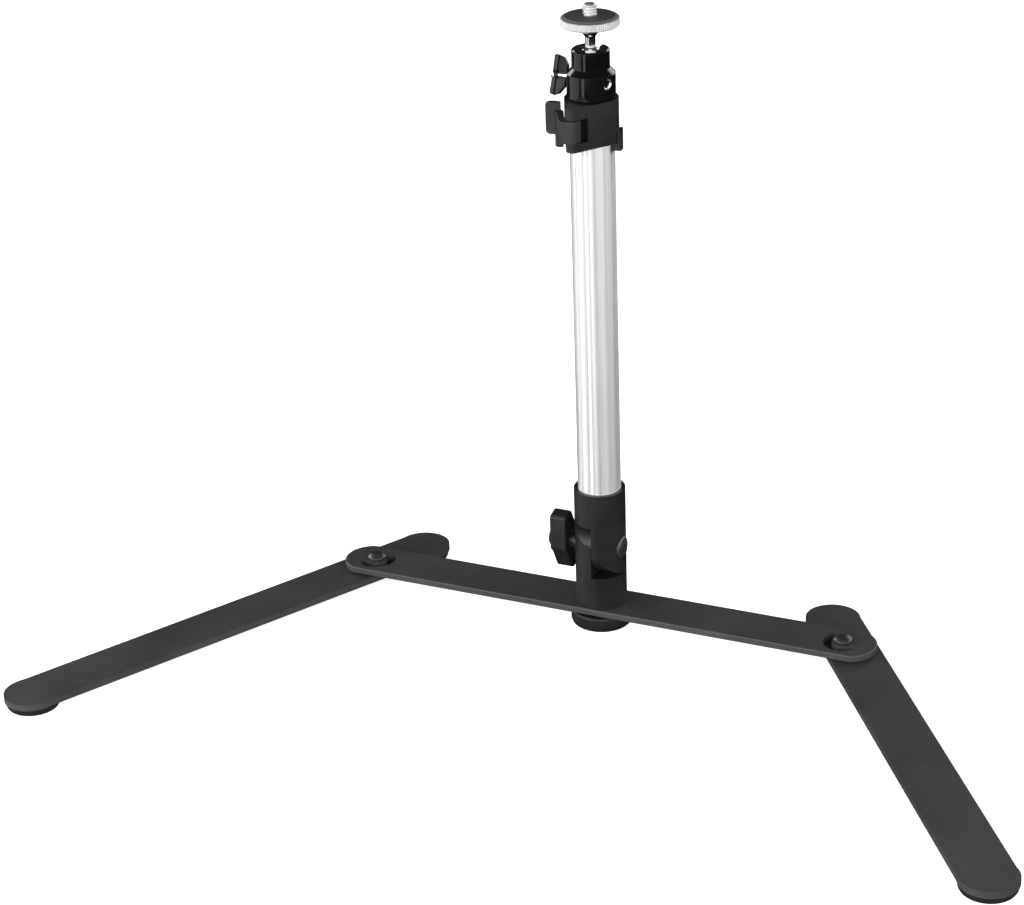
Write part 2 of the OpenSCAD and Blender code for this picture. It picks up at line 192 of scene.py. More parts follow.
def piece(bm, name, body, node, material):
    # turns a bmesh in millimetres into a finished object that stands for a CAD node
    bmesh.ops.scale(bm, vec=(mm,) * 3, verts=bm.verts)
    for face in bm.faces:
        face.smooth = True
    for edge in bm.edges:
        if len(edge.link_faces) == 2:
            edge.smooth = edge.calc_face_angle() < radians(finishing["sharp"])
    mesh = bpy.data.meshes.new(name)
    bm.to_mesh(mesh)
    bm.free()
    obj = bpy.data.objects.new(name, mesh)
    bpy.context.scene.collection.objects.link(obj)
    mesh.materials.append(material)
    weighted = obj.modifiers.new("weightedNormal", "WEIGHTED_NORMAL")
    weighted.mode = "FACE_AREA"
    weighted.weight = finishing["normalWeight"]
    weighted.keep_sharp = True
    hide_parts(node)
    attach(obj, body)


class Field:
    # a socket that takes part in Python arithmetic
    def __init__(self, shader, socket):
        self.shader = shader
        self.socket = socket

    def join(self, operation, first, second):
        return self.shader.field("ShaderNodeMath", {"operation": operation}, {0: first, 1: second})

    def __add__(self, other):
        return self.join("ADD", self, other)

    def __radd__(self, other):
        return self.join("ADD", other, self)

    def __sub__(self, other):
        return self.join("SUBTRACT", self, other)

    def __rsub__(self, other):
        return self.join("SUBTRACT", other, self)

    def __mul__(self, other):
        return self.join("MULTIPLY", self, other)

    def __rmul__(self, other):
        return self.join("MULTIPLY", other, self)

    def __abs__(self):
        return self.join("ABSOLUTE", self, 0.0)


class Shader:
    # one material: its Principled BSDF and the nodes that feed it
    def __init__(self, name, fixed):
        self.material = bpy.data.materials.new(name)
        self.material.use_nodes = True
        self.tree = self.material.node_tree
        self.surface = self.tree.nodes["Principled BSDF"]
        for socket, value in fixed.items():
            self.surface.inputs[socket].default_value = value
        self.place = self.field("ShaderNodeTexCoord", output="Object")

    def node(self, kind, settings=None, sockets=None):
        made = self.tree.nodes.new(kind)
        for key, value in (settings or {}).items():
            setattr(made, key, value)
        for key, value in (sockets or {}).items():
            self.feed(made.inputs[key], value)
        return made

    def feed(self, target, value):
        if isinstance(value, Field):
            self.tree.links.new(value.socket, target)
        else:
            target.default_value = value

    def field(self, kind, settings=None, sockets=None, output=0):
        return Field(self, self.node(kind, settings, sockets).outputs[output])

    def axis(self, index):
        # how far along X, Y or Z the surface is
        return self.field("ShaderNodeSeparateXYZ", None, {0: self.place}, output=index)

    def stretch(self, scale):
        # object coordinates scaled by axis
        return self.field("ShaderNodeVectorMath", {"operation": "MULTIPLY"},
                          {0: self.place, 1: scale})

    def noise(self, scale, detail=2.0, rough=0.5, vector=None):
        return self.field("ShaderNodeTexNoise", None, {
            "Vector": vector or self.place, "Scale": scale, "Detail": detail, "Roughness": rough})

    def ramp(self, value, low, high, start=0.0, end=1.0):
        # value from low..high to start..end, held inside those ends
        return self.field("ShaderNodeMapRange", {"clamp": True}, {
            "Value": value, "From Min": low, "From Max": high, "To Min": start, "To Max": end})

    def blend(self, factor, first, second):
        made = self.node("ShaderNodeMix", {"data_type": "RGBA"}, {"Factor": factor})
        self.feed(made.inputs[6], first)
        self.feed(made.inputs[7], second)
        return Field(self, made.outputs[2])

    def bump(self, height, distance):
        return self.field("ShaderNodeBump", None, {
            "Height": height, "Distance": distance, "Strength": 1.0})

    def finish(self, **links):
        names = {"color": "Base Color", "rough": "Roughness", "metal": "Metallic",
                 "normal": "Normal"}
        for key, value in links.items():
            self.feed(self.surface.inputs[names[key]], value)
        return self.material


def grey(level, tint=(1, 1, 1)):
    return (level * tint[0], level * tint[1], level * tint[2], 1)


# in each look a noise is (scale, detail, roughness), a span is the part of the noise that is
# read, and rough is the roughness at both ends of it

powderLook = {"dark": 0.023, "light": 0.033, "tint": (1.0, 1.0, 1.05), "specular": 0.56,
              "rough": (0.42, 0.54), "span": (0.3, 0.7), "cloud": (26.0, 4.0, 0.6),
              "grain": (2600.0, 2.0, 0.6), "fine": (7020.0, 1.0), "cloudShare": 0.7,
              "fineShare": 0.4, "depth": 0.00003}


def powderCoat():
    look = powderLook
    s = Shader("powderCoat", {"Specular IOR Level": look["specular"]})
    cloud = s.noise(*look["cloud"])
    grain = s.noise(*look["grain"])
    fine = s.noise(*look["fine"])
    share = look["cloudShare"]
    tone = s.ramp(cloud * share + grain * (1 - share), *look["span"])
    color = s.blend(tone, grey(look["dark"], look["tint"]), grey(look["light"], look["tint"]))
    return s.finish(color=color, rough=s.ramp(cloud, *look["span"], *look["rough"]),
                    normal=s.bump(grain + fine * look["fineShare"], look["depth"]))


rubberLook = {"dark": 0.004, "light": 0.008, "dusty": (0.018, 0.013, 0.010, 1),
              "specular": 0.2, "rough": (0.62, 0.78), "span": (0.3, 0.7),
              "grain": (1800.0, 3.0, 0.6), "cloud": (90.0, 3.0), "wornHeight": 0.0016,
              "wornSpread": 0.002, "depth": 0.00006}


def footRubber():
    # worn and dusty where it meets the desk
    look = rubberLook
    s = Shader("footRubber", {"Specular IOR Level": look["specular"]})
    grain = s.noise(*look["grain"])
    cloud = s.noise(*look["cloud"])
    height = s.axis(2) + (cloud - 0.5) * look["wornSpread"]
    worn = s.ramp(height, 0.0, look["wornHeight"], 1.0, 0.0)
    clean = s.blend(cloud, grey(look["dark"]), grey(look["light"]))
    return s.finish(color=s.blend(worn, clean, look["dusty"]),
                    rough=s.ramp(grain, *look["span"], *look["rough"]),
                    normal=s.bump(grain, look["depth"]))


plasticLook = {"cloud": (55.0, 4.0, 0.55), "span": (0.3, 0.7), "roughSpan": (0.35, 0.65),
               "cloudShare": 0.6, "roughSpread": 0.14, "darkTint": (1, 1, 1.03),
               "lightTint": (1, 1, 1.04), "seamWidth": (0.00006, 0.00022)}

plasticLooks = {  # seam is the height of the mould's parting line, on the plane x = 0
    "blackPlastic": {"dark": 0.006, "light": 0.010, "rough": 0.34, "grain": 1500.0,
                     "depth": 0.00003, "specular": 0.32},
    "knucklePlastic": {"dark": 0.006, "light": 0.010, "rough": 0.34, "grain": 1500.0,
                       "depth": 0.00003, "specular": 0.32, "seam": 0.00006},
    "leverPlastic": {"dark": 0.011, "light": 0.016, "rough": 0.42, "grain": 1300.0,
                     "depth": 0.00004, "specular": 0.35},
    "padRubber": {"dark": 0.028, "light": 0.048, "rough": 0.62, "grain": 1100.0,
                  "depth": 0.00012, "specular": 0.4},
    "wingPlastic": {"dark": 0.003, "light": 0.006, "rough": 0.2, "grain": 500.0,
                    "depth": 0.000004, "specular": 0.2},
}


def moulded(name):
    look = {**plasticLook, **plasticLooks[name]}
    s = Shader(name, {"Specular IOR Level": look["specular"]})
    cloud = s.noise(*look["cloud"])
    grain = s.noise(look["grain"], 3.0, 0.6)
    color = s.blend(s.ramp(cloud, *look["span"]), grey(look["dark"], look["darkTint"]),
                    grey(look["light"], look["lightTint"]))
    share = look["cloudShare"]
    rough = s.ramp(cloud * share + grain * (1 - share), *look["roughSpan"], look["rough"],
                   look["rough"] + look["roughSpread"])
    height = grain * look["depth"]
    if "seam" in look:
        height = height + s.ramp(abs(s.axis(0)), *look["seamWidth"], look["seam"], 0.0)
    return s.finish(color=color, rough=rough, normal=s.bump(height, 1.0))


aluminiumLook = {"dark": 0.80, "light": 0.88, "darkTint": (1, 1.002, 1.004),
                 "lightTint": (1, 1.002, 1.006), "rough": (0.31, 0.40),
                 "anisotropy": 0.98, "anisotropyTurn": 0.25, "lines": (900.0, 3.0, 0.6),
                 "lineStretch": (1, 1, 0.012), "cloud": (30.0, 3.0, 0.5),
                 "cloudStretch": (1, 1, 0.2), "lineShare": 0.5, "span": (0.35, 0.65),
                 "roughSpan": (0.3, 0.7), "depth": 0.000004}


def satinAluminium():
    # fine drawn lines along the tube
    look = aluminiumLook
    s = Shader("satinAluminium", {"Metallic": 1.0, "Anisotropic": look["anisotropy"],
                                  "Anisotropic Rotation": look["anisotropyTurn"]})
    drawn = s.noise(*look["lines"], s.stretch(look["lineStretch"]))
    cloud = s.noise(*look["cloud"], s.stretch(look["cloudStretch"]))
    tone = drawn * look["lineShare"] + cloud * (1 - look["lineShare"])
    color = s.blend(s.ramp(tone, *look["span"]), grey(look["dark"], look["darkTint"]),
                    grey(look["light"], look["lightTint"]))
    return s.finish(color=color, rough=s.ramp(tone, *look["roughSpan"], *look["rough"]),
                    normal=s.bump(drawn, look["depth"]))


glossLook = {"dark": 0.001, "light": 0.002, "coat": 0.25, "coatRough": 0.06,
             "rough": (0.14, 0.24), "span": (0.35, 0.7), "smudge": (140.0, 4.0, 0.65),
             "peel": (420.0, 2.0), "depth": 0.000012}


def glossBlack():
    look = glossLook
    s = Shader("glossBlack", {"Coat Weight": look["coat"], "Coat Roughness": look["coatRough"]})
    peel = s.noise(*look["peel"])
    smudge = s.noise(*look["smudge"])
    return s.finish(color=s.blend(smudge, grey(look["dark"]), grey(look["light"])),
                    rough=s.ramp(smudge, *look["span"], *look["rough"]),
                    normal=s.bump(peel, look["depth"]))


metalLook = {"tint": (1, 1.003, 1.01), "span": (0.35, 0.65), "cloudShare": 0.6}

metalLooks = {  # matte is how much rougher the metal is over its matte height
    "chrome": {"dark": 0.70, "light": 0.80, "rough": (0.10, 0.18), "cloud": (90.0, 4.0, 0.6),
               "grain": (1200.0, 2.0), "depth": 0.000002, "matte": 0.3, "matteRise": 0.0005},
    "zincSteel": {"dark": 0.46, "light": 0.60, "rough": (0.28, 0.42),
                  "cloud": (150.0, 4.0, 0.6), "grain": (2000.0, 2.0), "depth": 0.00001},
    "knurledSteel": {"dark": 0.60, "light": 0.70, "rough": (0.42, 0.52),
                     "cloud": (240.0, 4.0, 0.6), "grain": (3200.0, 2.0), "depth": 0.000008},
}


def plainMetal(name, matteAbove=None):
    look = {**metalLook, **metalLooks[name]}
    s = Shader(name, {"Metallic": 1.0})
    cloud = s.noise(*look["cloud"])
    grain = s.noise(*look["grain"])
    color = s.blend(cloud, grey(look["dark"], look["tint"]), grey(look["light"], look["tint"]))
    share = look["cloudShare"]
    rough = s.ramp(cloud * share + grain * (1 - share), *look["span"], *look["rough"])
    if matteAbove:
        rough = rough + s.ramp(s.axis(2), matteAbove, matteAbove + look["matteRise"], 0.0,
                               look["matte"])
    return s.finish(color=color, rough=rough, normal=s.bump(grain, look["depth"]))


rimLook = {"black": 0.004, "bright": 0.85, "rim": (0.00195, 0.0021), "specular": 0.4,
           "rough": (0.3, 0.4), "span": (0.3, 0.7), "grain": (3000.0, 2.0), "depth": 0.000004}


def rimmedSteel(node):
    # black steel with a bare turned edge, by distance from the middle of the node
    look = rimLook
    s = Shader("rimmedSteel", {"Specular IOR Level": look["specular"]})
    reach = s.field("ShaderNodeVectorMath", {"operation": "DISTANCE"},
                    {0: s.place, 1: tuple(nodeCentre(node) * mm)}, output=1)
    bare = s.ramp(reach, *look["rim"])
    grain = s.noise(*look["grain"])
    return s.finish(color=s.blend(bare, grey(look["black"]), grey(look["bright"])), metal=bare,
                    rough=s.ramp(grain, *look["span"], *look["rough"]),
                    normal=s.bump(grain, look["depth"]))


oxideLook = {"dark": 0.008, "light": 0.018, "specular": 0.7, "rough": (0.3, 0.5),
             "span": (0.3, 0.7), "cloud": (280.0, 4.0, 0.6), "grain": (2800.0, 2.0),
             "depth": 0.00001}


def blackOxide():
    look = oxideLook
    s = Shader("blackOxide", {"Specular IOR Level": look["specular"]})
    cloud = s.noise(*look["cloud"])
    grain = s.noise(*look["grain"])
    return s.finish(color=s.blend(cloud, grey(look["dark"]), grey(look["light"])),
                    rough=s.ramp(cloud, *look["span"], *look["rough"]),
                    normal=s.bump(grain, look["depth"]))


brassLook = {"dark": (0.60, 0.40, 0.16, 1), "light": (0.76, 0.56, 0.26, 1),
             "rough": (0.22, 0.4), "span": (0.3, 0.7), "cloud": (400.0, 4.0),
             "lines": (700.0, 2.0, 0.5), "lineStretch": (1, 1, 12), "depth": 0.00001}


def turnedBrass():
    look = brassLook
    s = Shader("brass", {"Metallic": 1.0})
    cloud = s.noise(*look["cloud"])
    lines = s.noise(*look["lines"], s.stretch(look["lineStretch"]))
    return s.finish(color=s.blend(cloud, look["dark"], look["light"]),
                    rough=s.ramp(lines, *look["span"], *look["rough"]),
                    normal=s.bump(lines, look["depth"]))


nylonLook = {"dark": (0.62, 0.60, 0.53, 1), "light": (0.74, 0.72, 0.66, 1),
             "rough": (0.38, 0.52), "span": (0.3, 0.7), "cloud": (220.0, 3.0),
             "grain": (1600.0, 2.0), "depth": 0.00002, "glow": 0.15,
             "glowReach": (0.001, 0.0009, 0.0007)}


def naturalNylon():
    look = nylonLook
    s = Shader("naturalNylon", {"Subsurface Weight": look["glow"],
                                "Subsurface Radius": look["glowReach"]})
    cloud = s.noise(*look["cloud"])
    grain = s.noise(*look["grain"])
    return s.finish(color=s.blend(cloud, look["dark"], look["light"]),
                    rough=s.ramp(grain, *look["span"], *look["rough"]),
                    normal=s.bump(grain, look["depth"]))


powder = powderCoat()
rubber = footRubber()
plastic = moulded("blackPlastic")
knucklePlastic = moulded("knucklePlastic")
leverPlastic = moulded("leverPlastic")
padRubber = moulded("padRubber")
wingPlastic = moulded("wingPlastic")
aluminium = satinAluminium()
gloss = glossBlack()
chrome = plainMetal("chrome", matteAbove=nodeBox("disc_pad")[1].z * mm)
zinc = plainMetal("zincSteel")
knurled = plainMetal("knurledSteel")
rimSteel = rimmedSteel("set_screw")
oxide = blackOxide()
slotLooks = {"charcoal_coat": powder, "rubber_foot": rubber, "black_steel": oxide,
             "bright_steel": zinc, "black_plastic": plastic, "brass": turnedBrass(),
             "natural_nylon": naturalNylon(), "satin_aluminium": aluminium,
             "gloss_black": gloss, "chrome": chrome}
for part in frame["record"]["subparts"]:
    node = frame["nodes"][part["node"]]
    node.data.materials.clear()
    node.data.materials.append(slotLooks[part["material_slot"]])
print("materials made:", len(bpy.data.materials))


barShape = {"endRadius": 13.2, "slotRadius": 7.15, "slotHalf": 2.15, "slotFrom": -112.0,
            "slotTo": 39.5, "lobeTurn": -21.0, "lobeRadius": 1.6, "topRound": 0.6,
            "underRound": 0.4, "slotRound": 0.25, "roundSegments": 4, "leastTurn": 0.5,
            "endSteps": 36}


def slotOutline(side):
    # curved slot round a pivot, with a lobe past its outboard end; side is -1 on the left
    b = barShape
    first, last, mid, half = b["slotFrom"], b["slotTo"], b["slotRadius"], b["slotHalf"]
    lobe, lobeTurn = b["lobeRadius"], b["lobeTurn"]
    gap = 2 * mid * sin(radians(-lobeTurn / 2))
    along = (gap ** 2 + half ** 2 - lobe ** 2) / (2 * gap)
    across = sqrt(half ** 2 - along ** 2)
    toLobe = first + 270 + lobeTurn / 2
    openEnd = degrees(atan2(across, along))
    openLobe = 180 - degrees(atan2(across, gap - along))
    ends = {a: (mid * cos(radians(a)), mid * sin(radians(a)))
            for a in (first, last, first + lobeTurn)}
    points = arc(0, 0, mid + half, first, last, 40)
    points += arc(*ends[last], half, last, last + 180, 14)[1:]
    points += arc(0, 0, mid - half, last, first, 26)[1:]
    points += arc(*ends[first], half, first + 180, toLobe - openEnd, 5)[1:]
    points += arc(*ends[first + lobeTurn], lobe, toLobe - openLobe, toLobe + openLobe, 14)[1:]
    points += arc(*ends[first], half, toLobe + openEnd, first + 360, 8)[1:-1]
    return [(-side * x, y) for x, y in points]


def plate(outline, low, high, holes):
    # flat bar with a rolled upper edge and softer slot edges
    b = barShape
    bm = prism(outline, low, high, holes)
    inHole = {(round(x, 3), round(y, 3)) for loop in holes for x, y in loop}

    def around(e, hole, z):
        level = all(abs(v.co.z - z) < meshing["level"] for v in e.verts)
        rim = all((round(v.co.x, 3), round(v.co.y, 3)) in inHole for v in e.verts)
        sharp = len(e.link_faces) == 2 and e.calc_face_angle() > b["leastTurn"]
        return level and rim == hole and sharp

    for width, z, hole in ((b["topRound"], high, False), (b["underRound"], low, False),
                           (b["slotRound"], high, True)):
        bevelEdges(bm, [e for e in bm.edges if around(e, hole, z)], width, b["roundSegments"])
    return bm


def crossBar():
    b = barShape
    low, high = nodeBox("crossbar")
    centre = high.x - b["endRadius"]
    swing = degrees(asin(high.y / b["endRadius"]))
    outline = arc(centre, 0, b["endRadius"], -swing, swing, b["endSteps"])
    outline += arc(-centre, 0, b["endRadius"], 180 - swing, 180 + swing, b["endSteps"])
    holes = []
    for side, bolt in ((-1, "left_pivot_bolt"), (1, "right_pivot_bolt")):
        pivot = nodeCentre(bolt)
        holes.append([(x + pivot.x, y) for x, y in slotOutline(side)])
    piece(plate(outline, low.z, high.z, holes), "crossBar", "base", "crossbar",
          powder)


legShape = {"endRadius": 12.7, "halfWidth": 12.4, "footInset": 13.0, "boltHole": 2.55,
            "endSteps": 60}


def leg(side):
    # the line from the rear foot to the front foot gives the leg's place
    g = legShape
    front, rear = nodeCentre(side + "_front_foot"), nodeCentre(side + "_rear_foot")
    pivot = nodeCentre(side + "_pivot_bolt")
    low, high = nodeBox(side + "_leg")
    along = (front - rear).normalized()
    inset = g["footInset"] - g["endRadius"]
    reach = (front - rear).length + 2 * inset
    swing = degrees(asin(g["halfWidth"] / g["endRadius"]))
    outline = arc(reach, 0, g["endRadius"], -180 + swing, 180 - swing, g["endSteps"])
    outline += arc(0, 0, g["endRadius"], swing, 360 - swing, g["endSteps"])
    start = rear - along * inset
    turn = Matrix.Rotation(atan2(along.y, along.x), 4, "Z")
    hole = turn.inverted() @ Vector((pivot.x - start.x, pivot.y - start.y, 0))
    bm = plate(outline, low.z, high.z, [circle(hole.x, hole.y, g["boltHole"])])
    place(bm, turn, (start.x, start.y, 0))
    piece(bm, side + "Leg", side + "_leg_arm", side + "_leg", powder)


def wholeTurn(name, path, body, node, material):
    # a turned piece on its node's own upright axis, from rounded (radius, height) corners
    at = nodeCentre(node)
    bm = place(lathe(roundOff(path, closed=False)), at=(at.x, at.y, 0))
    piece(bm, name, body, node, material)


footShape = {"groove": 0.5, "grooveFrom": 8.2, "grooveTo": 8.6, "grooveRound": 0.3,
             "lip": 0.8, "lipHeight": 1.28, "round": 1.0, "chamfer": 0.25, "topRound": 0.2}


def feet():
    f = footShape
    for side in ("left", "right"):
        for end in ("front", "rear"):
            node = f"{side}_{end}_foot"
            low, high = nodeBox(node)
            r = (high.x - low.x) / 2
            path = [(0, f["groove"]), (f["grooveFrom"], f["groove"], f["grooveRound"]),
                    (f["grooveTo"], 0, f["grooveRound"]), (r - f["lip"], 0, f["round"]),
                    (r, f["lipHeight"], f["round"]), (r, high.z - f["chamfer"], f["topRound"]),
                    (r - f["chamfer"], high.z), (0, high.z)]
            wholeTurn(side + end.capitalize() + "Foot", path, side + "_leg_arm", node,
                      rubber)


boltShape = {"shank": 2.5, "lead": 0.3, "headRadius": 4.3, "seat": 0.2, "wall": 1.4,
             "wallRound": 0.35, "dome": 0.72, "domeDrop": 0.45, "domeRound": 3.0, "flat": 0.25}


def pivotBolt(side):
    b = boltShape
    node = side + "_pivot_bolt"
    low, high = nodeBox(node)
    barTop = nodeBox("crossbar")[1].z
    r = b["headRadius"]
    path = [(0, low.z), (b["shank"] - b["lead"], low.z), (b["shank"], low.z + b["lead"]),
            (b["shank"], barTop), (r - b["seat"], barTop), (r, barTop + b["seat"]),
            (r, barTop + b["wall"], b["wallRound"]),
            (r * b["dome"], high.z - b["domeDrop"], b["domeRound"]),
            (r * b["flat"], high.z), (0, high.z)]
    wholeTurn(side + "PivotBolt", path, "base", node, oxide)


nutShape = {"clearance": 0.02, "wall": 1.0, "chamfer": 0.35, "segments": 2}


def pivotNut(side):
    n = nutShape
    node = side + "_pivot_nut"
    low, high = nodeBox(node)
    half = (high.z - low.z) / 2
    bore = boltShape["shank"] + n["clearance"]
    bm = prism(circle(0, 0, (high.x - low.x) / 2, 6), -half, half, [circle(0, 0, bore)])

    def rim(c):
        return c.xy.length > bore + n["wall"] and abs(abs(c.z) - half) < meshing["near"]

    bevelEdges(bm, sharpEdges(bm, 60, rim), n["chamfer"], n["segments"])
    piece(place(bm, at=(low + high) / 2), side + "PivotNut", "base", node, zinc)


crossBar()
for side in ("left", "right"):
    leg(side)
    pivotNut(side)
feet()
for side in ("left", "right"):
    pivotBolt(side)
print("base made")


def ridged(radius, count, depth):
    # round outline with small upright ridges
    points = []
    for i in range(count):
        for share, inset in ((0.0, depth), (0.3, 0), (0.55, 0), (0.85, depth)):
            a = 2 * pi * (i + share) / count
            points.append(((radius - inset) * cos(a), (radius - inset) * sin(a)))
    return points


def stackedDisc(outline, levels):
    # an outline drawn up through (height, scale) levels
    bm = bmesh.new()
    first, firstScale = levels[0]
    verts = [bm.verts.new((x * firstScale, y * firstScale, first)) for x, y in outline]
    cap = bm.faces.new(verts)
    last, lastScale = levels[0]
    for z, scale in levels[1:]:
        grown = bmesh.ops.extrude_face_region(bm, geom=[cap])["geom"]
        verts = [v for v in grown if isinstance(v, bmesh.types.BMVert)]
        nextCap = [f for f in grown if isinstance(f, bmesh.types.BMFace)][0]
        if cap.is_valid and last != first:
            bmesh.ops.delete(bm, geom=[cap], context="FACES_ONLY")
        bmesh.ops.scale(bm, vec=(scale / lastScale, scale / lastScale, 1), verts=verts)
        bmesh.ops.translate(bm, verts=verts, vec=(0, 0, z - last))
        cap, last, lastScale = nextCap, z, scale
    bmesh.ops.recalc_face_normals(bm, faces=bm.faces)
    return bm


middleShape = {"ridges": 96, "ridgeDepth": 0.25, "bevel": 0.7, "height": 5.6,
               "edge": ((0.5, 0.995), (0.8, 1)), "hub": 8.0, "hubSink": 0.6, "hubRound": 0.2,
               "barGap": 0.3}


def middleKnob():
    # edge gives heights from each end, and the outline's scale there
    m = middleShape
    low, high = nodeBox("middle_knob")
    top = low.z + m["height"]
    inner = (high.x - m["bevel"]) / high.x
    levels = [(low.z, inner)] + [(low.z + z, scale) for z, scale in m["edge"]]
    levels += [(top - z, scale) for z, scale in reversed(m["edge"])] + [(top, inner)]
    bm = stackedDisc(ridged(high.x, m["ridges"], m["ridgeDepth"]), levels)
    sunk, rim = top - m["hubSink"], nodeBox("crossbar")[0].z - m["barGap"]
    path = [(0, sunk), (m["hub"], sunk), (m["hub"], rim, m["hubRound"]), (0, rim)]
    bm = join(bm, lathe(roundOff(path, closed=False), 64))
    piece(bm, "middleKnob", "middle_foot", "middle_knob", plastic)


underPadShape = {"groove": 0.4, "grooveFrom": 3.4, "grooveTo": 3.0, "grooveRound": 0.2,
                 "lip": 0.9, "round": 0.5}


def middlePad():
    p = underPadShape
    high = nodeBox("middle_pad")[1]
    r = high.x
    path = [(0, p["groove"]), (r - p["grooveFrom"], p["groove"], p["grooveRound"]),
            (r - p["grooveTo"], 0, p["grooveRound"]), (r - p["lip"], 0, p["round"]),
            (r, p["lip"], p["round"]), (r, high.z), (0, high.z)]
    wholeTurn("middlePad", path, "middle_foot", "middle_pad", rubber)


middleKnob()
middlePad()
print("middle foot made")


knuckleShape = {"round": 0.45, "shell": 9.7, "spotFace": 6.4}


def knuckle(name, body, node):
    # rounds the shell's own edges, not the bores' or the spot faces'
    k = knuckleShape
    axis = nodeCentre("tilt_bolt").z
    bm = fromCad(node)

    def outer(c):
        return c.xy.length > k["shell"] and sqrt(c.y ** 2 + (c.z - axis) ** 2) > k["spotFace"]

    bevelEdges(bm, sharpEdges(bm, 25, outer), k["round"])
    piece(bm, name, body, node, knucklePlastic)


tiltBoltShape = {"shank": 2.5, "lead": 0.4, "head": 2.2, "seat": 0.15, "wall": 0.55,
                 "wallRound": 0.25, "dome": 0.8, "domeDrop": 0.75, "domeRound": 2.0,
                 "flat": 0.35, "flatRound": 4.0}


def tiltBolt():
    b = tiltBoltShape
    low, high = nodeBox("tilt_bolt")
    r = (high.z - low.z) / 2
    seat = high.x - b["head"]
    path = [(0, low.x), (b["shank"] - b["lead"], low.x), (b["shank"], low.x + b["lead"]),
            (b["shank"], seat), (r - b["seat"], seat), (r, seat + b["seat"]),
            (r, seat + b["wall"], b["wallRound"]),
            (r * b["dome"], high.x - b["domeDrop"], b["domeRound"]),
            (r * b["flat"], high.x, b["flatRound"]), (0, high.x)]
    bm = lathe(roundOff(path, closed=False), 72)
    place(bm, Matrix.Rotation(pi / 2, 4, "Y"), (0, 0, (low.z + high.z) / 2))
    piece(bm, "tiltBolt", "mast", "tilt_bolt", oxide)


knobShape = {"wing": [(-7.8, -3, 2.0), (-7.8, 13.2, 1.0), (-6.8, 14.4, 0.8), (-1.6, 15.5, 1.6),
                      (0.4, 14.5, 1.2), (5.6, 5, 3.0)],
             "edge": 0.7, "thick": 8, "bossDepth": 2.5,
             "boss": [(0, -2.5), (3.9, -2.5, 1.0), (5.5, -0.6, 1.5), (5.5, 1), (0, 1)],
             "hub": [(0, 7), (4.0, 7), (4.0, 11.1, 0.8), (2.8, 11.1), (0, 11.1)]}


def tiltKnob():
    # the outline lies across the screw's axis; the far wing is the near one turned half round
    k = knobShape
    outline = roundOff(k["wing"] + [(-y, -z, r) for y, z, r in k["wing"]])
    bm = prism(outline, 0, k["thick"])
    bevelEdges(bm, sharpEdges(bm, 60), k["edge"], 4)
    bm = join(bm, lathe(roundOff(k["boss"], closed=False), 64),
              lathe(roundOff(k["hub"], closed=False), 64))
    # local x, y, z go to the frame's y, z, x
    turn = Matrix(((0, 0, 1, 0), (1, 0, 0, 0), (0, 1, 0, 0), (0, 0, 0, 1)))
    start = nodeBox("tilt_knob")[0].x + k["bossDepth"]
    place(bm, turn, (start, 0, nodeCentre("tilt_bolt").z))
    piece(bm, "tiltKnob", "tilt_handle", "tilt_knob", plastic)


knuckle("lowerKnuckle", "lower_mount", "lower_knuckle")
knuckle("upperKnuckle", "mast", "upper_knuckle")
tiltBolt()
tiltKnob()
print("tilt knuckle made")


tubeShape = {"wall": 1.0, "innerWall": 0.8, "edge": 0.25}


def tube(name, body, node, wall):
    low, high = nodeBox(node)
    r, e = high.x, tubeShape["edge"]
    profile = [(r - wall, low.z + e), (r - wall + e, low.z), (r - e, low.z), (r, low.z + e),
               (r, high.z - e), (r - e, high.z), (r - wall + e, high.z), (r - wall, high.z - e)]
    piece(lathe(profile, 128, True), name, body, node, aluminium)


collarShape = {"round": 0.9, "topBand": 0.05, "lowBand": 3.7, "bore": 9.9}


def collar():
    c = collarShape
    low, high = nodeBox("clamp_collar")
    bm = fromCad("clamp_collar")

    def rim(at):
        atEnd = at.z > high.z - c["topBand"] or at.z < low.z + c["lowBand"]
        return atEnd and at.xy.length > c["bore"]

    bevelEdges(bm, sharpEdges(bm, 40, rim), c["round"], 4)
    piece(bm, "clampCollar", "mast", "clamp_collar", plastic)


leverShape = {"tip": 2.0, "round": 0.5, "tipReach": 19.0}


def lever():
    g = leverShape
    bm = fromCad("clamp_lever")
    pin = nodeCentre("lever_pin")
    tip = [e for e in bm.edges if abs(e.verts[0].co.z - e.verts[1].co.z) < meshing["near"]
           and all((v.co.xy - pin.xy).length > g["tipReach"] for v in e.verts)]
    bevelEdges(bm, tip, g["tip"], 6)
    bevelEdges(bm, sharpEdges(bm), g["round"])
    piece(bm, "clampLever", "lever", "clamp_lever", leverPlastic)


tube("outerTube", "mast", "outer_tube", tubeShape["wall"])
tube("innerTube", "column", "inner_tube", tubeShape["innerWall"])
collar()
lever()
print("mast made")


headShape = {"round": 1.0, "socket": 7, "stepHeight": 10, "holeFrom": -5, "holeHalf": 3.4}


def ballHead():
    h = headShape
    low, high = nodeBox("head_body")
    bm = fromCad("head_body")

    def rim(c):
        # the top rim and the step, away from the wing screw's hole
        nearHole = c.x < h["holeFrom"] and abs(c.y) < h["holeHalf"]
        return c.xy.length > h["socket"] and c.z > low.z + h["stepHeight"] and not nearHole

    bevelEdges(bm, sharpEdges(bm, 28, rim), h["round"], 5)
    piece(bm, "headBody", "column", "head_body", gloss)


setScrewShape = {"turn": -23.0, "radius": 2.5, "half": 1.3, "rim": 0.5, "dish": 0.8,
                 "socket": 1.6, "socketDepth": 2.2, "plug": 1.8, "plugBack": -1.2}


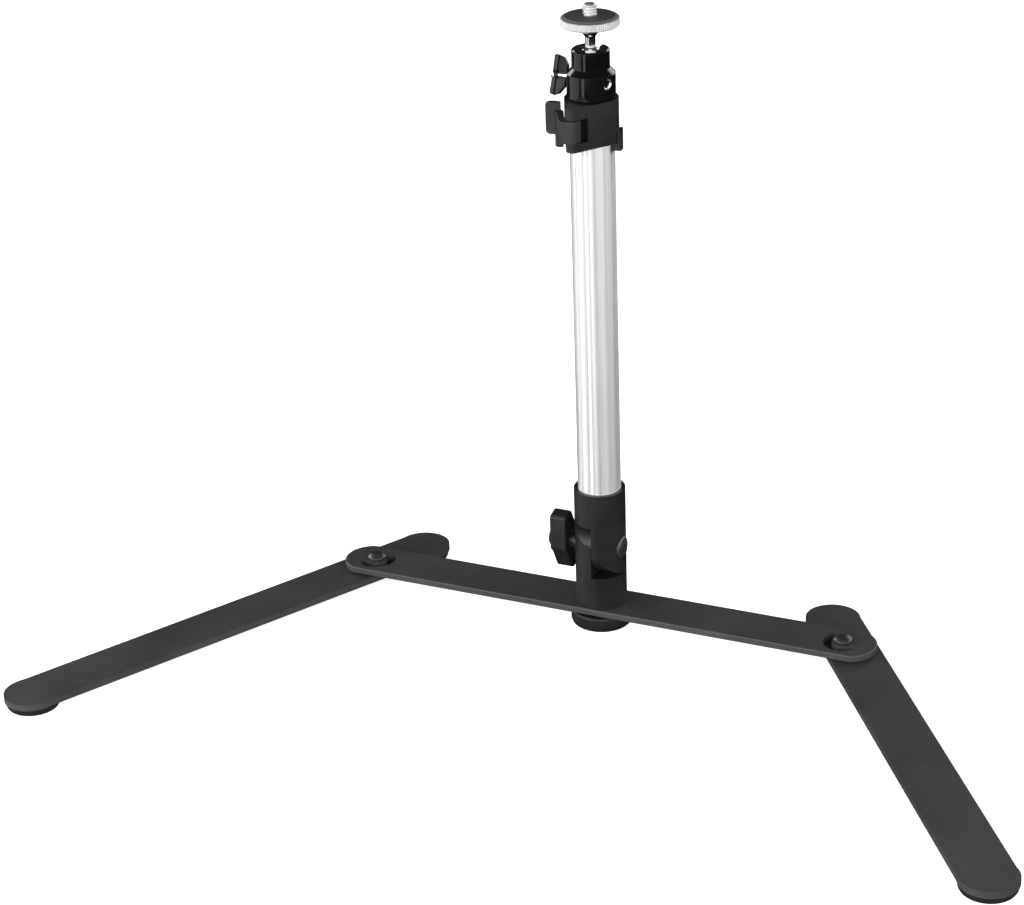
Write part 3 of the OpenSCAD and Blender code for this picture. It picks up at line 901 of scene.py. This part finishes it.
def setScrew():
    # a socket set screw whose end face is dished
    g = setScrewShape
    half = g["half"]
    bm = prism(circle(0, 0, g["radius"], 48), -half, half, [circle(0, 0, g["socket"], 6)])
    for v in bm.verts:
        if v.co.z > 0 and v.co.xy.length < g["radius"] - g["rim"]:
            v.co.z -= g["dish"]
    bottom = half - g["socketDepth"]
    plug = lathe([(0, bottom), (g["plug"], bottom), (g["plug"], g["plugBack"]),
                  (0, g["plugBack"])], 32)
    turn = Matrix.Rotation(radians(g["turn"]), 4, "Z") @ Matrix.Rotation(pi / 2, 4, "Y")
    screw = place(join(bm, plug), turn, nodeCentre("set_screw"))
    piece(screw, "setScrew", "column", "set_screw", rimSteel)


threadShape = {"crest": 3.175, "root": 2.5, "pitch": 1.27, "crestFlat": 0.16,
               "rootFlat": 0.3, "steps": 36, "tip": 0.7}


def threadedRod(low, high):
    # one pitch of profile swept up a helix, then cut level at both ends
    t = threadShape
    p = t["pitch"]
    slope = (p - t["crestFlat"] - t["rootFlat"]) / 2
    start = low - 1.5 * p
    heights = ((t["root"], 0), (t["root"], t["rootFlat"]), (t["crest"], t["rootFlat"] + slope),
               (t["crest"], p - slope), (t["root"], p))
    turns = int((high - start) / p) + 2
    bm = bmesh.new()
    verts = [bm.verts.new((r, 0, start + z)) for r, z in heights]
    edges = [bm.edges.new(pair) for pair in zip(verts, verts[1:])]
    bmesh.ops.spin(bm, geom=verts + edges, cent=(0, 0, 0), axis=(0, 0, 1),
                   angle=2 * pi * turns, dvec=(0, 0, p / t["steps"]), steps=t["steps"] * turns,
                   use_merge=False, use_duplicate=False)
    bmesh.ops.remove_doubles(bm, verts=bm.verts, dist=meshing["threadMerge"])
    for z, up in ((low, -1), (high - t["tip"], 1)):
        cut(bm, (0, 0, z), (0, 0, up), drop=True)
        rim = [e for e in bm.edges if e.is_boundary
               and all(abs(v.co.z - z) < meshing["threadMerge"] for v in e.verts)]
        bmesh.ops.contextual_create(bm, geom=rim)
    bmesh.ops.recalc_face_normals(bm, faces=bm.faces)
    return bm


stemShape = {"neck": 2.3, "neckTop": 4.8, "neckRound": 2.2, "flare": 3.8, "flareLow": 2.8,
             "flareRound": 0.8, "flareTop": 0.2, "threadLow": 0.3,
             "crown": [(0, -1.4), (2.7, -1.4), (2.85, -0.7, 0.2), (2.1, 0, 0.9), (0, 0)]}


def stem():
    # neck heights are measured down from the disc, the crown's down from the tip
    g = stemShape
    low, high = nodeBox("ball_stem")
    under = nodeBox("clamp_disc")[0].z
    path = [(0, low.z), (g["neck"], low.z), (g["neck"], under - g["neckTop"], g["neckRound"]),
            (g["flare"], under - g["flareLow"], g["flareRound"]),
            (g["flare"], under - g["flareTop"]), (0, under - g["flareTop"])]
    crown = [(c[0], high.z + c[1], *c[2:]) for c in g["crown"]]
    bm = join(lathe(roundOff(path, closed=False), 72),
              threadedRod(under - g["threadLow"], high.z),
              lathe(roundOff(crown, closed=False), 48))
    piece(bm, "ballStem", "stem", "ball_stem", chrome)


discShape = {"ridges": 84, "ridgeDepth": 0.28, "chamfer": 0.45, "faceInset": 0.65,
             "topChamfer": 0.5, "padHole": 3.4, "padHoleRound": 0.15, "padRound": 0.3}


def disc():
    d = discShape
    low, high = nodeBox("clamp_disc")
    inner = (high.x - d["faceInset"]) / high.x
    levels = [(low.z, inner), (low.z + d["chamfer"], 1), (high.z - d["topChamfer"], 1),
              (high.z, inner)]
    piece(stackedDisc(ridged(high.x, d["ridges"], d["ridgeDepth"]), levels), "clampDisc",
          "disc", "clamp_disc", knurled)
    low, high = nodeBox("disc_pad")
    hole = d["padHole"]
    path = [(hole, low.z), (hole, high.z, d["padHoleRound"]), (high.x, high.z, d["padRound"]),
            (high.x, low.z)]
    piece(lathe(roundOff(path), 96, True), "discPad", "pad_ring", "disc_pad",
          padRubber)


pinShape = {"tip": 0.8, "end": 1.5, "endRound": 1.2,
            "shank": [(2.0, 5.2), (2.0, 16.5), (2.7, 16.6, 0.1), (2.7, 17.5, 1.0)]}


def wingPin():
    p = pinShape
    low, high = nodeBox("wing_pin")
    path = [(0, -high.x), (p["tip"], -high.x), *p["shank"], (p["end"], -low.x, p["endRound"]),
            (0, -low.x)]
    bm = lathe(roundOff(path, closed=False), 48)
    place(bm, Matrix.Rotation(-pi / 2, 4, "Y"), (0, 0, (low.z + high.z) / 2))
    piece(bm, "wingPin", "wing_feed_pin", "wing_pin", chrome)


wingShape = {"blade": [(-17.8, 0.9), (-18, 8.4, 0.4), (-16.8, 8.9, 0.5), (-13.6, 8.0, 0.8),
                       (-11.3, 4.8, 0.8), (-11.3, 0.9)],
             "thick": 2.6, "pad": 1.1, "padFrom": -15.5, "padStep": 0.15, "edge": 0.35,
             "sleeve": [(0, 14.8), (2.5, 14.8, 0.2), (2.5, 16.4, 0.2), (0, 16.4)],
             "lean": -24.8}


def wingBlade(side):
    # a flat blade whose outer strip swells towards its tip
    w = wingShape
    path = [(c[0], side * c[1], *c[2:]) for c in w["blade"]]
    bm = prism(roundOff(path), -w["thick"] / 2, w["thick"] / 2)
    raised, tip = w["padFrom"] - w["padStep"], w["blade"][1][0]
    for x in (w["padFrom"], raised):
        cut(bm, (x, 0, 0), (1, 0, 0))
    for v in bm.verts:
        if v.co.x < raised + meshing["near"]:
            share = (v.co.x - tip) / (raised - tip)
            v.co.z += w["pad"] * share * (1 if v.co.z > 0 else -1)
    bevelEdges(bm, sharpEdges(bm, 50), w["edge"])
    return place(bm, Matrix.Rotation(pi / 2, 4, "X"))


def wingGrip():
    w = wingShape
    low, high = nodeBox("wing_pin")
    sleeve = lathe(roundOff(w["sleeve"], closed=False), 48)
    place(sleeve, Matrix.Rotation(-pi / 2, 4, "Y"))
    whole = join(wingBlade(1), wingBlade(-1), sleeve)
    place(whole, Matrix.Rotation(radians(w["lean"]), 4, "X"), (0, 0, (low.z + high.z) / 2))
    piece(whole, "wingGrip", "wing_handle", "wing_grip", wingPlastic)


ballHead()
setScrew()
stem()
disc()
wingPin()
wingGrip()
print("ball head made")


roomLook = {"floor": (0.8, 0.8, 0.8, 1), "floorGlow": 0.75, "floorRough": 0.9,
            "floorSpecular": 0.1, "size": 6.0, "sky": 0.045, "below": 0.006, "horizon": 0.12}


def paperFloor():
    look = roomLook
    bm = bmesh.new()
    bmesh.ops.create_grid(bm, x_segments=2, y_segments=2, size=look["size"])
    mesh = bpy.data.meshes.new("floor")
    bm.to_mesh(mesh)
    bm.free()
    floor = bpy.data.objects.new("floor", mesh)
    bpy.context.scene.collection.objects.link(floor)
    floor.visible_glossy = False  # polished black sees the dim room below it instead
    s = Shader("floorPaper", {
        "Roughness": look["floorRough"], "Specular IOR Level": look["floorSpecular"],
        "Base Color": look["floor"], "Emission Color": (1, 1, 1, 1),
        "Emission Strength": look["floorGlow"]})
    mesh.materials.append(s.material)


def sky():
    # dim light that fades to almost none below the floor's level
    look = roomLook
    world = bpy.data.worlds.new("studio")
    bpy.context.scene.world = world
    world.use_nodes = True
    tree = world.node_tree
    toward = tree.nodes.new("ShaderNodeTexCoord")
    split = tree.nodes.new("ShaderNodeSeparateXYZ")
    level = tree.nodes.new("ShaderNodeMapRange")
    for key, value in (("From Min", -look["horizon"]), ("From Max", look["horizon"]),
                       ("To Min", look["below"]), ("To Max", look["sky"])):
        level.inputs[key].default_value = value
    background = tree.nodes["Background"]
    background.inputs["Color"].default_value = (1, 1, 1, 1)
    tree.links.new(toward.outputs["Generated"], split.inputs[0])
    tree.links.new(split.outputs[2], level.inputs["Value"])
    tree.links.new(level.outputs[0], background.inputs["Strength"])
    bpy.context.scene.view_settings.view_transform = "Standard"


lights = (  # name, angle round the mast, distance, width, lower and upper edge, brightness
    ("leftBackPanel", -188, 1.8, 1.6, 0.12, 1.3, 3.9),
    ("leftPanel", -136, 1.8, 1.6, 0.12, 1.3, 3.9),
    ("frontPanel", -86, 1.8, 1.6, 0.12, 1.3, 4.0),
    ("rightPanel", -36, 1.8, 1.6, 0.12, 1.3, 3.9),
    ("rightBackPanel", 14, 1.8, 1.6, 0.12, 1.3, 3.0),
    ("backPanel", 66, 1.8, 1.6, 0.12, 1.3, 2.2),
    ("leftStrip", -145, 1.3, 0.24, 0.12, 1.3, 1.9),
    ("leftFrontStrip", -108, 1.3, 0.30, 0.12, 1.3, 2.2),
    ("frontStrip", -82, 1.3, 0.22, 0.12, 1.3, 2.2),
    ("lowStrip", -106, 1.2, 0.2, -0.8, 0.1, 1.7),
    ("lowWall", -155, 1.2, 1.3, -0.8, 0.1, 0.75),
)


def studioLights():
    for name, angle, distance, width, low, high, brightness in lights:
        data = bpy.data.lights.new(name, "AREA")
        data.shape = "RECTANGLE"
        data.size, data.size_y = width, high - low
        data.energy = brightness * pi * width * (high - low)
        lamp = bpy.data.objects.new(name, data)
        bpy.context.scene.collection.objects.link(lamp)
        a = radians(angle)
        lamp.location = (distance * cos(a), distance * sin(a), (low + high) / 2)
        toMast = Vector((-cos(a), -sin(a), 0))
        lamp.rotation_euler = toMast.to_track_quat("-Z", "Y").to_euler()


view = {"yaw": 25.16, "pitch": 24.52, "roll": -2.01, "lens": 97.38, "sensor": 36,
        "aim": (0, 0, 0.08001), "shift": (-0.04002, 0.0077), "distance": 1.28102}


def camera():
    data = bpy.data.cameras.new("camera")
    data.sensor_width = view["sensor"]
    data.lens = view["lens"]
    cam = bpy.data.objects.new("camera", data)
    bpy.context.scene.collection.objects.link(cam)
    level = Matrix.Rotation(radians(view["yaw"]), 4, "Z")
    level = level @ Matrix.Rotation(radians(90 - view["pitch"]), 4, "X")
    spot = Vector(view["aim"]) + level.to_3x3() @ Vector((*view["shift"], view["distance"]))
    roll = Matrix.Rotation(radians(view["roll"]), 4, "Z")
    cam.matrix_world = Matrix.Translation(spot) @ level @ roll
    bpy.context.scene.camera = cam


paperFloor()
sky()
studioLights()
camera()
print("room made")
